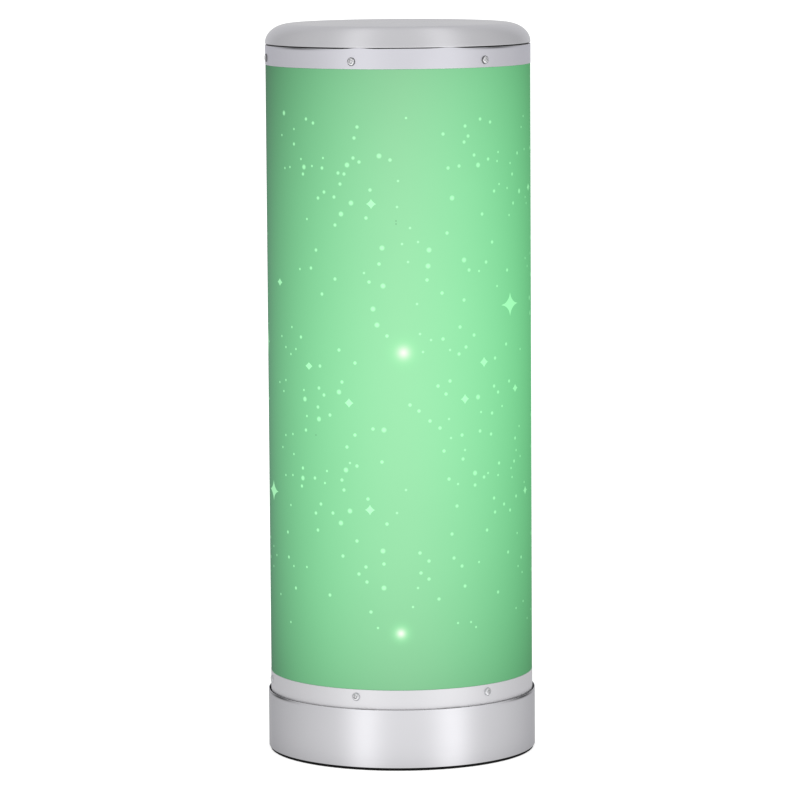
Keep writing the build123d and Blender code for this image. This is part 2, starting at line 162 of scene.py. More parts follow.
def joinAxes(wire, x, y, z):
    return wire.node("ShaderNodeCombineXYZ", {}, {0: x, 1: y, 2: z})


grainNoise = {"detail": 3.0, "rough": 0.55}
cloudNoise = {"detail": 4.0, "rough": 0.6}


def noise(wire, vector, scale, detail=2.0, rough=0.5):
    sockets = {"Vector": vector, "Scale": scale, "Detail": detail, "Roughness": rough}
    return wire.node("ShaderNodeTexNoise", {}, sockets)


def mixColour(wire, share, first, second, blend="MIX"):
    settings = {"data_type": "RGBA", "blend_type": blend}
    return wire.node("ShaderNodeMix", settings, {0: share, 6: first, 7: second}, 2)


def bump(wire, height, strength, distance):
    sockets = {"Height": height, "Strength": strength, "Distance": distance}
    return wire.node("ShaderNodeBump", {}, sockets)


# 1 where the step is zero, fading to 0 on both sides of it
def bell(wire, step):
    return wire.math("EXPONENT", step * step * -1)


def clamp(wire, value):
    return wire.math("MINIMUM", wire.math("MAXIMUM", value, 0.0), 1.0)


# Radians round the lamp, from the front towards the right
def turnRound(wire, x, y):
    return wire.math("ARCTAN2", x, y * -1)


def newFinish(name, fixed):
    material = bpy.data.materials.new(name)
    material.use_nodes = True
    shader = material.node_tree.nodes["Principled BSDF"]
    for socket, value in fixed.items():
        shader.inputs[socket].default_value = value
    return material, Wire(material.node_tree)


def feed(material, wires):
    shader = material.node_tree.nodes["Principled BSDF"]
    for socket, wire in wires.items():
        material.node_tree.links.new(wire.socket, shader.inputs[socket])
    return material


def grey(level):
    return (level, level, level, 1.0)


# Bright metals: the base and cap are polished, the bands round the glass are brushed
brightLooks = {
    "polished_chrome": {
        "colour": (0.755, 0.75, 0.78, 1.0),
        "worn": (0.715, 0.71, 0.74, 1.0),
        "edgeTint": (0.86, 0.86, 0.88, 1.0),
        "rough": 0.21,
        "turning": 0.05,         # roughness spread of the turning lines
        "smudges": 0.05,         # roughness spread of handling marks
        "lines": 2600.0,         # turning lines to the metre
        "stretch": 0.55,         # of the reflections
        "foot": {"paintedShade": 0.235, "reach": 4.5 * mm},     # painted shade, where the table keeps the light off
        # painted shade along the seam at the lip, at both sides
        "seam": {"node": "base_housing", "drop": 0.35 * mm, "reach": 0.48 * mm,
                 "sides": (-66.0, 65.0), "width": 12.0},
    },
    "brushed_band": {
        "colour": (0.79, 0.785, 0.84, 1.0),
        "worn": (0.75, 0.745, 0.80, 1.0),
        "edgeTint": (0.90, 0.90, 0.94, 1.0),
        "rough": 0.46,
        "turning": 0.10,
        "smudges": 0.08,
        "lines": 5200.0,
        "stretch": 0.3,
        # painted shade along the seam under the cap, at both sides
        "seam": {"node": "upper_collar", "drop": 0.0, "reach": 0.5 * mm,
                 "sides": (-48.0, 47.0), "width": 12.0},
    },
    # A lighter copy of the brushed band for the lower band: its extra lightness is painted light
    "pale_band_painted_light": {
        "colour": (0.865, 0.86, 0.885, 1.0),
        "worn": (0.825, 0.82, 0.845, 1.0),
        "edgeTint": (0.96, 0.96, 0.98, 1.0),
        "rough": 0.52,
        "turning": 0.10,
        "smudges": 0.08,
        "lines": 5200.0,
        "stretch": 0.3,
    },
    # Unpolished steel, made dark as painted shade: inside the base's lip, and in the tray screws' recesses
    # and rims
    "dull_steel_and_painted_shade": {
        "colour": (0.10, 0.10, 0.105, 1.0),
        "worn": (0.07, 0.07, 0.075, 1.0),
        "edgeTint": (0.2, 0.2, 0.2, 1.0),
        "rough": 0.5,
        "turning": 0.15,
        "smudges": 0.15,
        "lines": 3000.0,
        "stretch": 0.0,
    },
    # Painted shade at the rims of the upper band screws and in their crosses
    "screw_painted_shade": {
        "colour": (0.20, 0.20, 0.205, 1.0),
        "worn": (0.13, 0.13, 0.135, 1.0),
        "edgeTint": (0.4, 0.4, 0.4, 1.0),
        "rough": 0.4,
        "turning": 0.1,
        "smudges": 0.15,
        "lines": 6000.0,
        "stretch": 0.0,
    },
    "screw_steel": {
        "colour": (0.84, 0.84, 0.86, 1.0),
        "worn": (0.76, 0.76, 0.78, 1.0),
        "edgeTint": (0.8, 0.8, 0.82, 1.0),
        "rough": 0.16,
        "turning": 0.06,
        "smudges": 0.12,
        "lines": 9000.0,
        "stretch": 0.0,
    },
}
# What all the bright metals share
brightGrain = {
    "smudgeScale": 38.0,         # to the metre
    "stretchTurn": 0.25,         # of a full turn
    "relief": 0.02,
    "reliefDepth": 0.02 * mm,
    "paintedShadeTone": 0.03,             # tone of a full painted shade
}


# Painted shade along a seam at both sides of the lamp, standing for the dark reflections there
def seamShade(wire, seam, x, y, z):
    height = heights(seam["node"])[1] - seam["drop"]
    turn = turnRound(wire, x, y)
    sides = 0.0
    for degrees in seam["sides"]:
        sides = sides + bell(wire, (turn - math.radians(degrees)) / math.radians(seam["width"]))
    return bell(wire, (z - height) / seam["reach"]) * sides


# Painted shade in a bright metal's colour: towards the foot, and along the seams
def metalShades(wire, look, x, y, z):
    shades = []
    if "foot" in look:
        shades.append(look["foot"]["paintedShade"] * wire.math("EXPONENT", z / -look["foot"]["reach"]))
    if "seam" in look:
        shades.append(seamShade(wire, look["seam"], x, y, z))
    return shades


def brightMetal(name):
    look = brightLooks[name]
    material, wire = newFinish(name, {
        "Metallic": 1.0,
        "Specular Tint": look["edgeTint"],
        "Anisotropic": look["stretch"],
        "Anisotropic Rotation": brightGrain["stretchTurn"],
    })
    where = objectPlace(wire)
    x, y, z = split(wire, where)
    reach = wire.math("SQRT", x * x + y * y)
    lines = noise(wire, joinAxes(wire, reach, z, 0.0), look["lines"], detail=3.0)
    smudges = noise(wire, where, brightGrain["smudgeScale"], **cloudNoise)
    colour = mixColour(wire, smudges ** 2, look["colour"], look["worn"])
    shades = metalShades(wire, look, x, y, z)
    if shades:
        colour = mixColour(wire, sum(shades), colour, grey(brightGrain["paintedShadeTone"]))
    return feed(material, {
        "Base Color": colour,
        "Roughness": look["rough"] + look["turning"] * (lines - 0.5) + look["smudges"] * (smudges - 0.5),
        "Normal": bump(wire, lines, brightGrain["relief"], brightGrain["reliefDepth"]),
    })


# Frosted glass lit from inside, with two levels of LEDs showing through it
glass = {
    "unlit": (0.008, 0.02, 0.01, 1.0),
    "gloss": 0.08,
    "rough": 0.5,
    "roughSpread": 0.12,
    "grain": 1400.0,                    # of the frosting, to the metre
    "relief": 0.05,
    "reliefDepth": 0.03 * mm,
    "lit": (0.363, 0.833, 0.447),
    "rimLeft": (0.20, 0.23, 0.27),      # share of each colour left at the left edge of the tube
    "rimRight": (0.21, 0.46, 0.31),
    "rimBend": (0.72, 1.21, 0.90),      # lower fades sooner towards the edge
    "middle": 137.4 * mm,               # brightest height
    "spread": 100 * mm,
    "fall": 0.121,                      # light lost one spread from the middle
    "fallBend": 1.41,
    "topFall": 0.112,
    "footFall": 0.167,
    "fallReach": 24.5 * mm,
    "lean": 0.067,                      # more light to the right, more so higher up
    "leanRise": 0.084,
    "endShade": 0.264,                  # edges darken towards both ends
    "endReach": 60 * mm,
    "cloud": 0.03,                      # uneven light through the frosting
    "cloudScale": 55.0,
    "spots": ((1.65, 149.4 * mm, 0.95), (-0.15, 49.4 * mm, 0.65)),   # degrees, height and size
    "core": 2.1 * mm,
    "coreBend": 1.8,
    "coreColour": (1.0, 1.0, 0.93, 1.0),
    "halo": 4.2 * mm,
    "haloShare": 0.85,
    "haloColour": (0.39, 1.0, 0.49, 1.0),
    "faces": 4,                         # sides of the mast that carry LEDs
}
glassRadius = radius("glass_shade")
glassFoot, glassTop = heights("glass_shade")


# Light through the tube, less towards both ends and at the edges there
def glassLevel(wire, z, side, away):
    step = (z - glass["middle"]) / glass["spread"]
    level = 1 - glass["fall"] * wire.math("ABSOLUTE", step) ** glass["fallBend"]
    level = level - glass["topFall"] * wire.math("EXPONENT", (z - glassTop) / glass["fallReach"])
    level = level - glass["footFall"] * wire.math("EXPONENT", (glassFoot - z) / glass["fallReach"])
    level = level * (1 + (glass["lean"] + glass["leanRise"] * step) * side)
    ends = wire.math("EXPONENT", (z - glassTop) / glass["endReach"])
    ends = ends + wire.math("EXPONENT", (glassFoot - z) / glass["endReach"])
    level = level * (1 - glass["endShade"] * ends * away)
    cloud = noise(wire, objectPlace(wire), glass["cloudScale"], **grainNoise)
    return level * (1 + glass["cloud"] * (cloud - 0.5))


def glassGlow(wire):
    x, y, z = split(wire, objectPlace(wire))
    angle = turnRound(wire, x, y)
    side = wire.math("SINE", angle)
    away = wire.node("ShaderNodeLayerWeight", {}, {"Blend": 0.5}, "Facing")
    level = glassLevel(wire, z, side, away)
    tones = {}
    for axis, lit in enumerate(glass["lit"]):
        left = glass["rimLeft"][axis]
        rim = left + (glass["rimRight"][axis] - left) * (0.5 + 0.5 * side)
        tones[axis] = lit * level * (1 - (1 - rim) * away ** glass["rimBend"][axis])
    colour = wire.node("ShaderNodeCombineColor", {}, tones)
    half = math.pi / glass["faces"]
    for degrees, height, size in glass["spots"]:
        across = wire.math("WRAP", angle - math.radians(degrees), half, -half) * glassRadius
        up = z - height
        gap = wire.math("SQRT", across * across + up * up) / size
        core = wire.math("EXPONENT", (gap / glass["core"]) ** glass["coreBend"] * -1)
        halo = bell(wire, gap / glass["halo"]) * glass["haloShare"]
        colour = mixColour(wire, halo, colour, glass["haloColour"])
        colour = mixColour(wire, core, colour, glass["coreColour"])
    return colour


def litGlass():
    material, wire = newFinish("lit_glass", {
        "Base Color": glass["unlit"],
        "Emission Strength": 1.0,
        "Specular IOR Level": glass["gloss"],
    })
    grain = noise(wire, objectPlace(wire), glass["grain"])
    return feed(material, {
        "Emission Color": glassGlow(wire),
        "Roughness": glass["rough"] + glass["roughSpread"] * grain,
        "Normal": bump(wire, grain, glass["relief"], glass["reliefDepth"]),
    })


# Clear ink of the star print, which adds to the light of the glass under it
ink = {
    "colour": (0.245, 0.50, 0.275, 1.0),
    "strength": 0.8,
    "lean": 0.2,                 # less to the right, where the tube itself is brighter
    "gain": 1.8,                 # above 1, full ink reaches out from the middle of a star
    "speckShade": 0.55,          # of the dark pinpricks in the print
    "speckTone": 0.02,
}


def starInk():
    material, wire = newFinish("star_ink", {
        "Base Color": glass["unlit"],
        "Emission Strength": 1.0,
        "Roughness": glass["rough"],
        "Specular IOR Level": glass["gloss"],
    })
    glow = wire.node("ShaderNodeAttribute", {"attribute_name": "glow"}, {}, "Fac")
    x = split(wire, objectPlace(wire))[0]
    share = ink["strength"] * clamp(wire, glow * ink["gain"]) * (1 - x * (ink["lean"] / glassRadius))
    colour = mixColour(wire, share, glassGlow(wire), ink["colour"], "ADD")
    speck = wire.math("MAXIMUM", glow * -ink["speckShade"], 0.0)
    return feed(material, {"Emission Color": mixColour(wire, speck, colour, grey(ink["speckTone"]))})


# Plain finishes of the inner pieces and small fittings, by the record's slots. Grain and cloud are
# noise scales to the metre, spread is the change in roughness that the grain makes.
plainLooks = {
    "black_rubber": {"colour": (0.004, 0.004, 0.004, 1), "worn": (0.010, 0.010, 0.010, 1), "rough": 0.85,
                     "spread": 0.15, "grain": 2400, "cloud": 60, "relief": 0.25, "shine": 0.1},
    "zinc_plate": {"colour": (0.60, 0.61, 0.63, 1), "worn": (0.47, 0.48, 0.50, 1), "rough": 0.34,
                   "spread": 0.18, "grain": 1500, "cloud": 90, "relief": 0.08, "metal": 1.0},
    "brass_plain": {"colour": (0.74, 0.55, 0.24, 1), "worn": (0.55, 0.39, 0.17, 1), "rough": 0.32,
                    "spread": 0.15, "grain": 1800, "cloud": 110, "relief": 0.08, "metal": 1.0,
                    "thread": 1.0 * mm},
    "board_green": {"colour": (0.020, 0.15, 0.055, 1), "worn": (0.028, 0.19, 0.075, 1), "rough": 0.38,
                    "spread": 0.1, "grain": 2600, "cloud": 150, "relief": 0.1, "tracks": 420},
    "black_plastic": {"colour": (0.020, 0.020, 0.021, 1), "worn": (0.034, 0.034, 0.035, 1), "rough": 0.44,
                      "spread": 0.14, "grain": 3200, "cloud": 70, "relief": 0.2},
    "nylon_white": {"colour": (0.80, 0.80, 0.77, 1), "worn": (0.74, 0.73, 0.68, 1), "rough": 0.4,
                    "spread": 0.1, "grain": 1600, "cloud": 80, "relief": 0.1},
    "holder_plastic": {"colour": (0.024, 0.024, 0.025, 1), "worn": (0.040, 0.040, 0.041, 1), "rough": 0.5,
                       "spread": 0.14, "grain": 2600, "cloud": 45, "relief": 0.18},
    "silicone": {"colour": (0.70, 0.71, 0.70, 1), "worn": (0.62, 0.63, 0.61, 1), "rough": 0.6,
                 "spread": 0.1, "grain": 1400, "cloud": 60, "relief": 0.08},
    "mast_aluminium": {"colour": (0.72, 0.73, 0.74, 1), "worn": (0.60, 0.61, 0.63, 1), "rough": 0.36,
                       "spread": 0.22, "grain": 1900, "cloud": 50, "relief": 0.12, "metal": 1.0,
                       "draw": 0.02},
    "strip_white": {"colour": (0.84, 0.84, 0.82, 1), "worn": (0.78, 0.78, 0.74, 1), "rough": 0.42,
                    "spread": 0.08, "grain": 2400, "cloud": 90, "relief": 0.06, "pads": 12.5 * mm},
    "led_package": {"colour": (0.86, 0.86, 0.80, 1), "worn": (0.80, 0.79, 0.70, 1), "rough": 0.38,
                    "spread": 0.08, "grain": 2600, "cloud": 200, "relief": 0.08},
    "led_lens": {"colour": (0.60, 0.95, 0.68, 1), "worn": (0.52, 0.90, 0.62, 1), "rough": 0.12,
                 "spread": 0.05, "grain": 1800, "cloud": 200, "relief": 0.03, "glow": 2.5},
    "wire_red": {"colour": (0.42, 0.020, 0.020, 1), "worn": (0.34, 0.016, 0.018, 1), "rough": 0.4,
                 "spread": 0.1, "grain": 1500, "cloud": 120, "relief": 0.06},
}
# Marks that only some of the plain finishes have, and the depth of their relief
plainMarks = {
    "reliefDepth": 0.05 * mm,
    "threadGrain": 0.2,          # grain and thread in the relief of a threaded rod
    "threadRise": 0.5,
    "trackEdge": 0.07,           # share of a cell
    "trackColour": (0.045, 0.27, 0.11, 1.0),
    "padReach": 1 / 12,          # share of the pitch, on each side of a pad's middle
    "padColour": (0.70, 0.46, 0.22, 1.0),
}


def plainFinish(slot):
    look = plainLooks[slot]
    material, wire = newFinish(slot, {
        "Metallic": look.get("metal", 0.0),
        "Emission Strength": look.get("glow", 0.0),
        "Specular IOR Level": look.get("shine", 0.5),
    })
    where = objectPlace(wire)
    x, y, z = split(wire, where)
    drawn = joinAxes(wire, x, y, z * look.get("draw", 1.0))
    grain = noise(wire, drawn, look["grain"], **grainNoise)
    cloud = noise(wire, where, look["cloud"], **cloudNoise)
    colour = mixColour(wire, cloud, look["colour"], look["worn"])
    relief = grain
    if "thread" in look:
        turn = wire.math("ARCTAN2", y, x)
        thread = wire.math("SINE", z * (fullTurn / look["thread"]) + turn)
        relief = grain * plainMarks["threadGrain"] + thread * plainMarks["threadRise"]
    if "tracks" in look:
        cells = {"Vector": where, "Scale": look["tracks"]}
        edge = wire.node("ShaderNodeTexVoronoi", {"feature": "DISTANCE_TO_EDGE"}, cells, "Distance")
        colour = mixColour(wire, edge < plainMarks["trackEdge"], colour, plainMarks["trackColour"])
    if "pads" in look:
        half = look["pads"] / 2
        gap = wire.math("ABSOLUTE", wire.math("WRAP", z, half, -half))
        pad = gap < look["pads"] * plainMarks["padReach"]
        colour = mixColour(wire, pad, colour, plainMarks["padColour"])
    sockets = {
        "Base Color": colour,
        "Roughness": look["rough"] + look["spread"] * (grain - 0.5),
        "Normal": bump(wire, relief, look["relief"], plainMarks["reliefDepth"]),
    }
    if "glow" in look:
        sockets["Emission Color"] = colour
    return feed(material, sockets)


finishes = {slot: plainFinish(slot) for slot in plainLooks}
chromeFinish = brightMetal("polished_chrome")
bandFinish = brightMetal("brushed_band")
paleLitFinish = brightMetal("pale_band_painted_light")
dullShadeFinish = brightMetal("dull_steel_and_painted_shade")
screwFinish = brightMetal("screw_steel")
screwShadeFinish = brightMetal("screw_painted_shade")
glassFinish = litGlass()
inkFinish = starInk()
print("finishes made:", len(bpy.data.materials))


def toMesh(bm, name):
    mesh = bpy.data.meshes.new(name)
    bm.to_mesh(mesh)
    bm.free()
    return mesh


# Large faces keep their own normals beside narrow rounded edges
def weighNormals(piece):
    weigh = piece.modifiers.new("weigh_normals", "WEIGHTED_NORMAL")
    weigh.keep_sharp = True


def finishMesh(bm, name, *materials, smooth=25.0):
    mesh = toMesh(bm, name)
    for material in materials:
        mesh.materials.append(material)
    mesh.shade_smooth()
    mesh.set_sharp_from_angle(angle=math.radians(smooth))
    piece = bpy.data.objects.new(name, mesh)
    scene.collection.objects.link(piece)
    weighNormals(piece)
    return piece


def place(piece, body, slot, *nodes):
    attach(piece, body)
    if nodes:
        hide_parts(*nodes)
    return piece


# Turns an outline of radius and height about Z
def spinOutline(bm, corners, segments, closed=True):
    verts = [bm.verts.new((reach, 0, height)) for reach, height in corners]
    following = verts[1:] + verts[:1] if closed else verts[1:]
    edges = [bm.edges.new(pair) for pair in zip(verts, following)]
    bmesh.ops.spin(
        bm, geom=verts + edges, cent=(0, 0, 0), axis=(0, 0, 1),
        angle=fullTurn, steps=segments, use_merge=True,
    )
    bmesh.ops.remove_doubles(bm, verts=bm.verts, dist=mergeGap)
    bmesh.ops.recalc_face_normals(bm, faces=bm.faces)


# Points of an outline along a quarter of an ellipse, from its side to its top
def quarterArc(middle, across, up, steps):
    angles = [quarterTurn * step / steps for step in range(steps + 1)]
    return [(middle[0] + across * math.cos(a), middle[1] + up * math.sin(a)) for a in angles]


def roundEdges(bm, size, steps=3, sharp=35.0, below=math.inf, material=-1):
    limit = math.radians(sharp)
    edges = [edge for edge in bm.edges if edge.calc_face_angle(0.0) > limit]
    edges = [edge for edge in edges if all(vert.co.z < below for vert in edge.verts)]
    bmesh.ops.bevel(
        bm, geom=edges, offset=size, offset_type="OFFSET", segments=steps,
        profile=0.5, affect="EDGES", clamp_overlap=True, material=material,
    )


def repeatMesh(bm, mesh, spots):
    for spot in spots:
        before = set(bm.verts)
        bm.from_mesh(mesh)
        added = [vert for vert in bm.verts if vert not in before]
        bmesh.ops.transform(bm, matrix=spot, verts=added)


def ringSpots(count, reach, degrees, height):
    turns = [math.radians(degrees) + fullTurn * i / count for i in range(count)]
    return [Matrix.Rotation(turn, 4, "Z") @ Matrix.Translation((reach, 0, height)) for turn in turns]


tube = {"segments": 192, "edgeRound": 0.25 * mm, "wall": 3.0 * mm}


def makeGlassTube():
    bm = bmesh.new()
    bore = glassRadius - tube["wall"]
    corners = ((bore, glassFoot), (glassRadius, glassFoot), (glassRadius, glassTop), (bore, glassTop))
    spinOutline(bm, corners, tube["segments"])
    roundEdges(bm, tube["edgeRound"])
    return place(finishMesh(bm, "glass_tube", glassFinish), "lamp", "printed_glass", "glass_shade")


# Stars printed on the glass, as thin flakes of ink that follow the tube. Each place is a pixel of the
# photograph. The back of the tube repeats the front, and the stars near the middle of the front fill
# the sides too.
stars = {
    "lift": 0.03 * mm,
    "dotPoints": 12,
    "sparkleCells": 12,
    "sparkleEdge": 0.5,          # ink left at the edge of a sparkle
    "repeats": 2,
    "sideFill": 11.5,            # degrees from the middle of the front
    "largeWidth": 2.2 * mm,
    "largePlaces": (
        (379, 156), (347, 165), (304, 167), (351, 203), (341, 214), (382, 248), (383, 286), (377, 325),
        (339, 392), (305, 399), (319, 419), (384, 430), (346, 470), (303, 478), (350, 511), (341, 523),
        (383, 551), (384, 588), (478, 165), (452, 198), (429, 250), (428, 266), (464, 260), (478, 397),
        (475, 473), (519, 191), (373, 309), (284, 113),
    ),
    "middleWidth": 1.55 * mm,
    "middlePlaces": (
        (306, 119), (313, 123), (357, 127), (354, 138), (294, 144), (353, 158), (359, 162), (390, 160),
        (322, 168), (303, 174), (338, 173), (344, 174), (340, 184), (324, 192), (318, 198), (334, 197),
        (370, 190), (366, 218), (335, 225), (316, 250), (379, 264), (311, 268), (335, 279), (369, 282),
        (322, 294), (387, 336), (339, 350), (355, 363), (301, 337), (320, 366), (342, 382), (319, 388),
        (324, 395), (318, 407), (330, 415), (306, 430), (373, 429), (355, 435), (347, 447), (357, 466),
        (382, 462), (303, 468), (315, 478), (302, 486), (342, 480), (344, 490), (321, 504), (316, 513),
        (333, 513), (368, 499), (318, 530), (288, 532), (387, 524), (357, 541), (343, 556), (289, 557),
        (384, 564), (366, 567), (359, 574), (367, 582), (296, 588), (330, 595), (371, 612), (480, 119),
        (490, 122), (465, 126), (443, 134), (468, 136), (464, 142), (517, 153), (474, 155), (488, 159),
        (459, 166), (448, 168), (512, 174), (494, 191), (513, 203), (482, 214), (447, 233), (492, 242),
        (486, 262), (469, 270), (507, 270), (427, 280), (442, 293), (464, 300), (460, 327), (474, 335),
        (443, 339), (466, 347), (459, 354), (495, 358), (506, 344), (438, 386), (450, 381), (446, 394),
        (509, 381), (494, 386), (498, 392), (410, 405), (419, 411), (430, 421), (492, 413), (440, 428),
        (462, 435), (480, 431), (491, 434), (444, 451), (463, 459), (515, 438), (514, 461), (499, 463),
        (484, 477), (449, 479), (475, 485), (457, 506), (494, 498), (504, 504), (495, 512), (510, 510),
        (516, 496), (487, 530), (452, 534), (420, 553), (429, 561), (454, 558), (462, 566), (508, 552),
        (521, 557), (421, 573), (429, 579), (465, 586), (498, 592), (439, 599),
    ),
    "fineWidth": 1.1 * mm,
    "finePlaces": (
        (294, 129), (282, 135), (301, 159), (290, 167), (285, 168), (312, 166), (323, 158), (307, 219),
        (397, 207), (398, 181), (364, 273), (300, 269), (292, 327), (282, 336), (296, 349), (291, 354),
        (286, 347), (286, 380), (280, 382), (284, 391), (304, 390), (307, 416), (293, 434), (286, 435),
        (283, 447), (294, 454), (350, 463), (327, 471), (293, 475), (286, 475), (325, 483), (291, 505),
        (397, 513), (274, 546), (277, 555), (274, 566), (294, 566), (307, 567), (281, 594), (378, 628),
        (291, 622), (406, 118), (523, 116), (521, 127), (524, 149), (498, 152), (510, 163), (497, 161),
        (499, 184), (507, 188), (525, 197), (526, 203), (509, 215), (410, 228), (418, 242), (402, 244),
        (408, 262), (479, 271), (525, 258), (527, 266), (497, 286), (417, 304), (420, 334), (431, 340),
        (450, 350), (423, 352), (520, 349), (502, 406), (481, 412), (449, 419), (451, 438), (465, 450),
        (519, 426), (516, 450), (520, 456), (511, 468), (488, 473), (498, 475), (512, 477), (524, 482),
        (458, 484), (406, 490), (517, 533), (518, 566), (522, 572), (479, 562), (418, 588), (523, 601),
        (413, 607), (516, 608), (458, 623), (471, 622), (476, 627), (527, 618),
    ),
    "speckWidth": 0.75 * mm,             # dark pinpricks in the print
    "speckPlaces": ((396, 221), (396, 224), (316, 435)),
}
# Sparkles: place, width, tallness, and a bow below 1 for arms that draw in
sparkles = (
    ((510, 304), 10.5 * mm, 8.4 * mm, 0.62),
    ((274, 490), 10.5 * mm, 7.4 * mm, 0.66),
    ((371, 204), 3.6 * mm, 3.5 * mm, 0.80),
    ((370, 510), 3.6 * mm, 3.7 * mm, 0.78),
    ((349, 403), 3.3 * mm, 3.3 * mm, 0.85),
    ((484, 362), 3.6 * mm, 3.7 * mm, 0.80),
    ((465, 399), 3.3 * mm, 3.5 * mm, 0.80),
    ((280, 282), 3.9 * mm, 2.8 * mm, 0.85),
    ((309, 366), 3.3 * mm, 2.7 * mm, 0.95),
    ((515, 388), 3.5 * mm, 2.9 * mm, 0.85),
    ((525, 490), 3.8 * mm, 3.2 * mm, 0.80),
    ((528, 187), 4.2 * mm, 2.8 * mm, 0.85),
)


# Where the sight line through a pixel of the photograph meets the tube: radians from the front, height
def onGlass(pixel):
    half = view["frame"] / 2
    reach = scene.camera.data.sensor_width / 2 / view["lens"] / half
    aim = cameraTurn() @ Vector(((pixel[0] - half) * reach, (half - pixel[1]) * reach, -1))
    start = Vector(view["place"])
    flat = aim.xy.dot(aim.xy)
    near = start.xy.dot(aim.xy) / flat
    room = near**2 - (start.xy.dot(start.xy) - glassRadius**2) / flat
    spot = start + aim * (-near - math.sqrt(max(room, 0)))
    return math.atan2(spot.x, -spot.y), spot.z


# All the spots round the tube that one place on the front stands for
def starSpots(pixel):
    angle, height = onGlass(pixel)
    turns = [fullTurn * repeat / stars["repeats"] for repeat in range(stars["repeats"])]
    if abs(angle) < math.radians(stars["sideFill"]):
        turns += [turn + quarterTurn for turn in turns]
    return [(angle + turn, height) for turn in turns]


def wrapOnGlass(vert, spot, width, tallness):
    reach = glassRadius + stars["lift"]
    turn = spot[0] + vert.co.x * width / 2 / reach
    vert.co = (reach * math.sin(turn), -reach * math.cos(turn), spot[1] + vert.co.y * tallness / 2)


# A disc of radius 1, with its ink at the middle
def addDot(bm, glow, spot, width, strength):
    made = bmesh.ops.create_circle(bm, cap_ends=True, cap_tris=True, segments=stars["dotPoints"], radius=1)
    for vert in made["verts"]:
        vert[glow] = strength * float(vert.co.length < 0.5)
        wrapOnGlass(vert, spot, width, width)


# A grid drawn in to four points, fine enough to follow the tube
def addSparkle(bm, glow, spot, width, tallness, bow):
    cells = stars["sparkleCells"]
    made = bmesh.ops.create_grid(bm, x_segments=cells, y_segments=cells, size=1)
    for vert in made["verts"]:
        ring = max(abs(vert.co.x), abs(vert.co.y))
        vert[glow] = 1 - (1 - stars["sparkleEdge"]) * ring
        if ring > 1 / cells:
            vert.co *= ring / (abs(vert.co.x) ** bow + abs(vert.co.y) ** bow) ** (1 / bow)
        wrapOnGlass(vert, spot, width, tallness)


def makeStarPrint():
    bm = bmesh.new()
    glow = bm.verts.layers.float.new("glow")
    for size, strength in (("large", 1), ("middle", 1), ("fine", 1), ("speck", -1)):
        for pixel in stars[size + "Places"]:
            for spot in starSpots(pixel):
                addDot(bm, glow, spot, stars[size + "Width"], strength)
    for pixel, width, tallness, bow in sparkles:
        for spot in starSpots(pixel):
            addSparkle(bm, glow, spot, width, tallness, bow)
    bmesh.ops.recalc_face_normals(bm, faces=bm.faces)
    return place(finishMesh(bm, "star_print", inkFinish), "lamp", "printed_glass")


makeGlassTube()
makeStarPrint()
print("glass and star print made")

# The rims over and under a seam meet in two places near the front and nearly meet between them
rimSeam = {
    "waves": ((-17.0, 4.5, 0.75), (22.3, 5.5, 0.75), (2.0, 20.0, 0.4)),   # degrees, width, share of the gap
    "most": 0.98,
}


def seamWave(spot):
    turn = math.degrees(math.atan2(spot.x, -spot.y))
    waves = [share * math.exp(-((turn - at) / width) ** 2) for at, width, share in rimSeam["waves"]]
    return min(sum(waves), rimSeam["most"])


# Spun base with a raised lip, its deck inside, and two ports at the back
base = {
    "segments": 192,
    "wall": 0.3 * mm,
    "deck": 1.0 * mm,
    "lip": 1.7 * mm,
    "deckBore": 5.05 * mm,
    "edgeRound": 0.11 * mm,
    "lipLean": 0.6 * mm,           # inwards, where the rims meet
    "skirtRise": 0.15 * mm,        # shows the foot as tall as in the photograph
    "dullShadeStart": 0.02 * mm,        # polish ends and painted shade begins this far from the inside of the wall
    "portGap": 0.3 * mm,
    "inletNose": 3.9 * mm,
    "buttonReach": 3.0 * mm,
    "leadHole": 4.0 * mm,
    "cutDepth": 10 * mm,
    "cutSides": 48,
}


def holeCutter(name, middle, reach, along):
    bm = bmesh.new()
    turn = quarterTurn if along == "Y" else 0
    bmesh.ops.create_cone(
        bm, cap_ends=True, segments=base["cutSides"], radius1=reach, radius2=reach, depth=base["cutDepth"],
        matrix=Matrix.Translation(middle) @ Matrix.Rotation(turn, 4, "X"),
    )
    return finishMesh(bm, name, chromeFinish)


def cutHoles(piece, holes):
    piece.modifiers.clear()
    cutters = [holeCutter(*hole) for hole in holes]
    for cutter in cutters:
        cut = piece.modifiers.new(cutter.name, "BOOLEAN")
        cut.operation = "DIFFERENCE"
        cut.solver = "EXACT"
        cut.object = cutter
    solved = piece.evaluated_get(bpy.context.evaluated_depsgraph_get())
    mesh = bpy.data.meshes.new_from_object(solved)
    piece.modifiers.clear()
    old = piece.data
    piece.data = mesh
    bpy.data.meshes.remove(old)
    mesh.name = piece.name
    for cutter in cutters:
        bpy.data.meshes.remove(cutter.data)
    weighNormals(piece)


